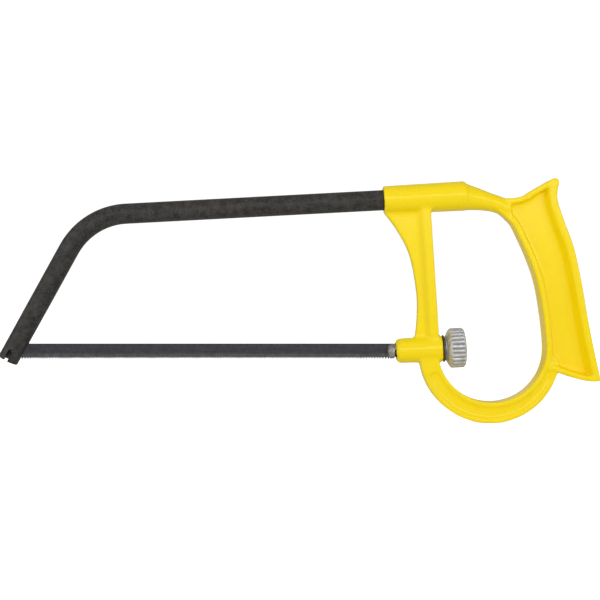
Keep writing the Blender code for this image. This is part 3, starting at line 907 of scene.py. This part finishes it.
@dataclass
class FrameTube:
    """The bent tube, slotted and notched at the nose for the blade and its pin."""

    datum: Datum
    rise: float = 58.2 * MM
    socket_end: float = 22.0 * MM  # u where the tube ends in the casting
    leg_angle: float = math.radians(61.1)
    bend_radius: float = 26.5 * MM
    overhang: float = 4.0 * MM  # leg past the front pin
    wall: float = 1.5 * MM
    edge: float = 0.7 * MM  # rounding at both ends
    slot: float = 1.0 * MM
    slot_top: float = 5.8 * MM  # slot past the front pin, up the leg
    pin_play: float = 0.2 * MM
    sides: int = 72
    step: float = 1.4 * MM
    past: float = 5.0 * MM  # cutters past the tube

    def path(self) -> list[Vector]:
        """The middle of the tube, from the leg's end to the end in the casting.

        Returns:
            Points along it.
        """
        pin = middle("front_blade_pin")
        leg = Vector((math.cos(self.leg_angle), 0.0, math.sin(self.leg_angle)))
        run = self.datum.axis
        tail = self.datum.matrix() @ Vector((self.socket_end, 0.0, self.rise))
        gap = tail - pin
        reach = (gap.x * run.z - gap.z * run.x) / (leg.x * run.z - leg.z * run.x)
        bend = leg.angle(run)
        start = pin + leg * (reach - self.bend_radius * math.tan(bend / 2))
        centre = start + Vector((leg.z, 0.0, -leg.x)) * self.bend_radius
        curve = []
        steps = math.ceil(self.bend_radius * bend / self.step)
        for i in range(steps + 1):
            angle = self.leg_angle - bend * i / steps
            out = Vector((-math.sin(angle), 0.0, math.cos(angle)))
            curve.append(centre + out * self.bend_radius)
        return [pin - leg * self.overhang, *curve, tail]

    def spaced(self, path: list[Vector]) -> list[Vector]:
        """The path with points no further apart than one step, and close at its ends."""
        line = [path[0]]
        for start, end in zip(path, path[1:]):
            count = max(1, math.ceil((end - start).length / self.step))
            line += [start.lerp(end, k / count) for k in range(1, count + 1)]
        shares = (0.0, 0.15, 0.4, 0.7, 1.0)
        first = [line[0] + (line[1] - line[0]).normalized() * self.edge * s for s in shares]
        last = [line[-1] + (line[-2] - line[-1]).normalized() * self.edge * s for s in shares]
        return first + line[1:-1] + last[::-1]

    def build(self) -> bpy.types.Object:
        """Sweeps the tube, gives it a wall and cuts its nose.

        Returns:
            The piece.
        """
        radius = half_size("frame_tube", "y")
        line = self.spaced(self.path())
        edges = [(i, i + 1) for i in range(len(line) - 1)]
        mesh = mesh_of("tube_path", line, [], edges)
        travel = [0.0]
        for a, b in zip(line, line[1:]):
            travel.append(travel[-1] + (b - a).length)
        tapers = []
        for here in travel:
            inset = max(0.0, 1 - min(here, travel[-1] - here) / self.edge)
            tapers.append(1 - self.edge / radius * (1 - math.sqrt(1 - inset ** 2)))
        piece = new_object("bent_frame_tube", with_numbers(mesh, "taper", tapers))
        sweep_tree().run(piece, Radius=radius, Sides=self.sides, Material=BLACK_ENAMEL.make())
        outward(piece)
        shell = piece.modifiers.new("wall", "SOLIDIFY")
        shell.thickness = self.wall
        shell.offset = -1.0
        settled(piece)
        return cut(piece, self.cutters(radius))

    def cutters(self, radius: float) -> list[bpy.types.Object]:
        """The blade's slot and the pin's notch, drawn up the leg and turned to it."""
        out, down = radius + self.past, -self.overhang - self.past
        slot = block("slot_cutter", (-out, down), (out, self.slot_top), self.slot / 2)
        room = half_size("front_blade_pin", "x") + self.pin_play
        hook = notch("hook_cutter", room, down, out)
        lean = Matrix.Rotation(math.pi / 2 - self.leg_angle, 4, "Y")
        for cutter in (slot, hook):
            cutter.data.transform(Matrix.Translation(middle("front_blade_pin")) @ lean)
        return [slot, hook]

    def make(self) -> None:
        """Builds and dresses the tube."""
        dress(self.build(), BLACK_ENAMEL, Body.FRAME, "frame_tube", crease=35.0)


@dataclass
class Blade:
    """The toothed strip with its wavy set, and the two pins through its ends."""

    pitch: float = TOOTH_PITCH
    depth: float = 0.85 * MM
    tip_share: float = 0.14  # of the pitch, from a tooth's front foot to its tip
    level_from: float = 1.75 * MM  # above the tips, where the rows of points turn level
    tip_reach: float = 2.6 * MM  # above the tips, where the "tip" number is down to 0
    wave: float = 8.0  # teeth in one wave of the set
    side_set: float = 0.15 * MM
    plain_end: float = 9.0 * MM
    tooth_stop: float = 1.0 * MM  # the last tooth in front of the rear pin
    hole_play: float = 0.1 * MM
    hole_sides: int = 36
    pin_edge: float = 0.25 * MM

    def tooth(self, width: float, height: float) -> bpy.types.Mesh:
        """One tooth's stretch of the strip, from x = 0 to its width, with z = 0 at its middle.

        Args:
            width: the stretch's length, one pitch.
            height: the strip's full height, tips included.

        Returns:
            The flat stretch, with its "tip" numbers.
        """
        columns = [(0.0, 0.0), (self.tip_share, 1.0), (0.34, 0.86), (0.62, 0.40), (0.86, 0.06),
                   (1.0, 0.0)]
        levels = [0.0, 0.30 * MM, 0.62 * MM, 1.10 * MM, self.level_from, self.tip_reach, height]
        points, tips, faces = [], [], []
        for share, drop in columns:
            bottom = self.depth * (1 - drop)
            for level in levels:
                blend = min(1.0, level / self.level_from)
                lift = max(bottom, bottom * (1 - blend) + level * blend)
                points.append((share * width, 0.0, lift - height / 2))
                tips.append(max(0.0, 1 - lift / self.tip_reach))
        rows = len(levels)
        for i in range(len(columns) - 1):
            for j in range(rows - 1):
                a = i * rows + j
                faces.append((a, a + rows, a + rows + 1, a + 1))
        return with_numbers(mesh_of("tooth", points, faces), "tip", tips)

    def strip(self) -> bpy.types.Object:
        """The whole strip, with its holes.

        Returns:
            The piece.
        """
        low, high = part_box("blade")
        length, height = high.x - low.x, high.z - low.z
        teeth = round(length / self.pitch)
        width = length / teeth
        piece = new_object("toothed_blade", self.tooth(width, height))
        toothing_tree().run(piece, Teeth=teeth, Pitch=width, Set=self.side_set, Wave=self.wave,
                            Plain_End=self.plain_end, Material=BLADE_STEEL.make())
        sheet = piece.modifiers.new("gauge", "SOLIDIFY")
        sheet.thickness = high.y - low.y
        sheet.offset = 0.0
        settled(piece)
        piece.data.transform(Matrix.Translation((low.x, 0.0, (low.z + high.z) / 2)))
        outward(piece)
        stop = middle("rear_blade_pin").x - self.tooth_stop
        tail = block("tail_cutter", (stop, low.z - self.depth),
                     (high.x + self.depth, low.z + self.depth), high.y * 2)
        return cut(piece, [tail, self.hole("front_blade_pin"), self.hole("rear_blade_pin")])

    def hole(self, pin: str) -> bpy.types.Object:
        """A cutter for the hole round one pin."""
        radius = half_size(pin, "x") + self.hole_play
        ring = arc(radius, 2 * math.pi, self.hole_sides)[:-1]
        cutter = prism("hole_cutter", ring, half_size(pin, "y"))
        cutter.data.transform(Matrix.Translation(middle(pin)))
        return cutter

    def pin(self, node: str, turning: GeometryTree) -> bpy.types.Object:
        """A blade pin, its ends slightly domed.

        Args:
            node: the frame's node that it stands for.
            turning: the lathe.

        Returns:
            The piece.
        """
        half, radius = half_size(node, "y"), half_size(node, "x")
        dome = self.pin_edge / 2
        profile = softened([
            (-half, 0.0, 0.0), (-half + dome / 2, radius - self.pin_edge, 0.15 * MM),
            (-half + dome + self.pin_edge, radius, 0.15 * MM),
            (half - dome - self.pin_edge, radius, 0.15 * MM),
            (half - dome / 2, radius - self.pin_edge, 0.15 * MM), (half, 0.0, 0.0),
        ])
        piece = turned(f"round_{node}", profile, turning, PIN_STEEL, steps=32)
        across = Matrix.Rotation(math.pi / 2, 4, "Z")
        piece.data.transform(Matrix.Translation(middle(node)) @ across)
        return piece

    def make(self, turning: GeometryTree) -> None:
        """Builds and dresses the blade and its pins."""
        dress(self.strip(), BLADE_STEEL, Body.BLADE, "blade", crease=25.0)
        for node in ("front_blade_pin", "rear_blade_pin"):
            dress(self.pin(node, turning), PIN_STEEL, Body.BLADE, node)


def turned(name: str, profile: list[tuple[float, float]], turning: GeometryTree, finish: Finish,
           thread_from: float | None = None, **values: object) -> bpy.types.Object:
    """Turns a profile about the x axis with the lathe.

    Args:
        name: the piece's name.
        profile: points (along, radius); a closed ring of points makes a ring of metal.
        turning: the lathe.
        finish: the piece's finish.
        thread_from: where along the piece its thread begins, if it has one.
        **values: other settings of the lathe, with steps for the points round the piece.

    Returns:
        The piece.
    """
    points = [(along, max(radius, 0.0), 0.0) for along, radius in profile]
    outer = max(radius for _, radius in profile)
    cuts = [0.0] * len(points)
    if thread_from is not None:
        cuts = [min(1.0, max(0.0, (along - thread_from) / THREAD_RUN_IN))
                * (radius > SHANK_SHARE * outer) for along, radius in profile]
    piece = new_object(name, with_numbers(mesh_of(name, points, []), "thread", cuts))
    turning.run(piece, Steps=values.pop("steps", 96), Outer_Radius=float(outer),
                Material=finish.make(), **values)
    return outward(piece, WELD)


@dataclass
class Tensioner:
    """The hooked stud, its washer and the fluted thumb nut."""

    datum: Datum
    turning: GeometryTree
    play: float = 0.2 * MM  # round the stud
    nose_round: float = 2.0 * MM
    tail_chamfer: float = 0.5 * MM
    thread_start: float = 13.0 * MM
    thread_pitch: float = 0.8 * MM
    thread_depth: float = 0.42 * MM
    slot: float = 1.0 * MM
    slot_end: float = 3.2 * MM
    neck: float = 4.6 * MM
    neck_length: float = 0.25 * MM
    cone_length: float = 1.2 * MM
    nut_edge: float = 0.7 * MM
    flutes: int = 26
    flute_depth: float = 0.50 * MM
    recess: float = 5.2 * MM
    recess_depth: float = 0.6 * MM
    past: float = 5.0 * MM

    def stud(self) -> bpy.types.Object:
        """The threaded stud with its round nose, the blade's slot and the hook.

        Returns:
            The piece.
        """
        span = self.datum.reach("tension_stud")
        radius = span.radius
        profile = softened([
            (span.start, 0.0, 0.0),
            (span.start, radius, self.nose_round),
            (span.end - self.tail_chamfer, radius, 0.1 * MM),
            (span.end, radius - self.tail_chamfer, 0.1 * MM),
            (span.end, 0.0, 0.0),
        ], steps=8)
        piece = turned("hooked_stud", dense(profile, 0.1 * MM), self.turning, STUD_STEEL,
                       thread_from=self.thread_start, Thread_Pitch=self.thread_pitch,
                       Thread_Depth=self.thread_depth, steps=72)
        out = radius + self.past
        front = span.start - self.past
        slot = block("slot_cutter", (front, -out), (self.slot_end, out), self.slot / 2)
        room = half_size("rear_blade_pin", "x") + self.play
        hook = notch("hook_cutter", room, -out, out)
        return self.datum.place(cut(piece, [slot, hook]))

    def washer(self) -> bpy.types.Object:
        """The flat thrust washer, with rolled edges."""
        span = self.datum.reach("thrust_washer")
        bore = self.datum.reach("tension_stud").radius + self.play
        edge = 0.16 * MM
        ring = [(span.start, (bore + span.radius) / 2, 0.0), (span.start, span.radius, edge),
                (span.end, span.radius, edge), (span.end, bore, edge), (span.start, bore, edge),
                (span.start, (bore + span.radius) / 2, 0.0)]
        return self.datum.place(turned("flat_washer", softened(ring), self.turning, SHADOW_DARK_WASHER_ZINC))

    def nut(self) -> bpy.types.Object:
        """The thumb nut: neck, cone, fluted head and a recess round the stud's tail.

        Returns:
            The piece.
        """
        span = self.datum.reach("tension_nut")
        bore = self.datum.reach("tension_stud").radius + self.play
        shoulder = span.start + self.neck_length + self.cone_length
        floor = span.end - self.recess_depth
        rim = span.radius - self.nut_edge
        edge = 0.2 * MM
        ring = [
            (span.start, (bore + self.neck) / 2, 0.0),
            (span.start, self.neck, self.neck_length / 3),
            (span.start + self.neck_length, self.neck, self.neck_length / 3),
            (shoulder, rim, 0.45 * MM),
            (shoulder + self.nut_edge, span.radius, 0.45 * MM),
            (span.end - self.nut_edge, span.radius, 0.5 * MM),
            (span.end, rim, 0.35 * MM),
            (span.end, self.recess, edge),
            (floor, self.recess - 0.3 * MM, edge),
            (floor, bore, edge),
            (span.start, bore, edge),
            (span.start, (bore + self.neck) / 2, 0.0),
        ]
        profile = dense(softened(ring), 0.22 * MM)
        piece = turned("fluted_nut", profile, self.turning, ZINC_PLATE, Flutes=self.flutes,
                       Flute_Depth=self.flute_depth, steps=self.flutes * 12)
        return self.datum.place(piece)

    def make(self) -> None:
        """Builds and dresses the tensioner."""
        dress(self.stud(), STUD_STEEL, Body.STUD, "tension_stud")
        dress(self.washer(), SHADOW_DARK_WASHER_ZINC, Body.FRAME, "thrust_washer")
        dress(self.nut(), ZINC_PLATE, Body.NUT, "tension_nut", crease=50.0)


# ---- Studio -----------------------------------------------------------------------------


@dataclass(frozen=True)
class SoftBox:
    """An area light that faces the saw, placed from a point in the saw's middle."""

    name: str
    place: tuple[float, float, float]
    size: tuple[float, float]
    power: float  # in watts
    colour: tuple[float, float, float] = WHITE
    aim: tuple[float, float, float] = (0.0, 0.0, 50 * MM)

    def hang(self) -> None:
        """Puts the light in the scene."""
        data = bpy.data.lights.new(self.name, "AREA")
        data.shape = "RECTANGLE"
        data.size, data.size_y = self.size
        data.energy = self.power
        data.color = self.colour
        light = bpy.data.objects.new(self.name, data)
        light.location = Vector(self.aim) + Vector(self.place)
        light.rotation_euler = (-Vector(self.place)).to_track_quat("-Z", "Y").to_euler()
        bpy.context.scene.collection.objects.link(light)


SOFT_BOXES = (
    SoftBox("front_box", (0.05, -0.90, 0.22), (1.3, 0.26), 3.5),
    SoftBox("high_box", (-0.15, -0.62, 0.85), (1.2, 0.5), 0.9),
    SoftBox("right_box", (0.85, -0.70, 0.15), (0.14, 0.9), 1.8, (0.88, 0.97, 1.0)),
    SoftBox("left_box", (-0.90, -0.40, 0.15), (0.3, 0.9), 2.0),
    SoftBox("top_box", (0.0, 0.05, 1.1), (1.4, 0.8), 0.3),
    SoftBox("back_box", (-0.1, 1.1, 0.5), (1.2, 0.6), 1.0),
)


@dataclass
class Studio:
    """A pale floor, soft boxes and a camera that looks at the saw's side."""

    distance: float = 385.0 * MM
    lens: float = 60.0
    sideways: float = 110.5 * MM  # camera to the right of the front pin
    above: float = 19.6 * MM  # camera above the front pin
    floor_size: float = 3.0
    shade: float = 0.38  # the surroundings' brightness
    backdrop: float = 1.05  # brightness of what the camera sees past the floor
    floor_glow: float = 0.85  # lifts the floor to white where the camera sees it

    def camera(self) -> None:
        """Places the camera level with the middle of the saw."""
        pin = middle("front_blade_pin")
        data = bpy.data.cameras.new("camera")
        data.lens = self.lens
        data.sensor_width = 36.0
        camera = bpy.data.objects.new("camera", data)
        camera.location = (pin.x + self.sideways, -self.distance, pin.z + self.above)
        camera.rotation_euler = (math.pi / 2, 0.0, 0.0)
        bpy.context.scene.collection.objects.link(camera)
        bpy.context.scene.camera = camera

    def floor(self) -> None:
        """A wide pale disc under the saw."""
        ring = [(x, y, 0.0) for x, y in arc(self.floor_size, 2 * math.pi, 96)[:-1]]
        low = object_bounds()[0].z
        floor = new_object("floor", mesh_of("floor", ring, [tuple(range(len(ring)))]))
        floor.data.transform(Matrix.Translation((0.0, 0.0, low)))
        paper = bpy.data.materials.new("floor_paper")
        paper.use_nodes = True
        graph = ShaderGraph(paper)
        tone = graph.blend(graph.noise(40 * MM), (0.93, 0.93, 0.93), (0.95, 0.95, 0.95))
        seen = graph.add("ShaderNodeLightPath").outputs["Is Camera Ray"]
        graph.finish(Base_Color=tone, Roughness=1.0, Specular_IOR_Level=0.0,
                     Emission_Color=(*WHITE, 1.0),
                     Emission_Strength=graph.times(seen, self.floor_glow))
        floor.data.materials.append(paper)
        floor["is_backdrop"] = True

    def world(self) -> None:
        """White to the camera, and a grey surround for everything else."""
        world = bpy.data.worlds.new("surround")
        bpy.context.scene.world = world
        world.use_nodes = True
        graph = Graph(world.node_tree)
        back = world.node_tree.nodes["Background"]
        seen = graph.add("ShaderNodeLightPath").outputs["Is Camera Ray"]
        strength = graph.math("MULTIPLY_ADD", seen, self.backdrop - self.shade, self.shade)
        graph.feed(back.inputs["Color"], (*WHITE, 1.0))
        graph.feed(back.inputs["Strength"], strength)

    def make(self) -> None:
        """Sets the whole stage."""
        bpy.context.scene.view_settings.view_transform = "Standard"
        self.camera()
        self.floor()
        self.world()
        for box in SOFT_BOXES:
            box.hang()


# ---- Assembly ---------------------------------------------------------------------------


def main() -> None:
    """Builds the saw and its stage."""
    logging.basicConfig(level=logging.INFO, format="%(name)s: %(message)s")
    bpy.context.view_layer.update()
    datum = find_datum()
    turning = turning_tree()
    Studio().make()
    Casting(datum).make()
    FrameTube(datum).make()
    Blade().make(turning)
    Tensioner(datum, turning).make()


if __name__ == "__main__":
    main()
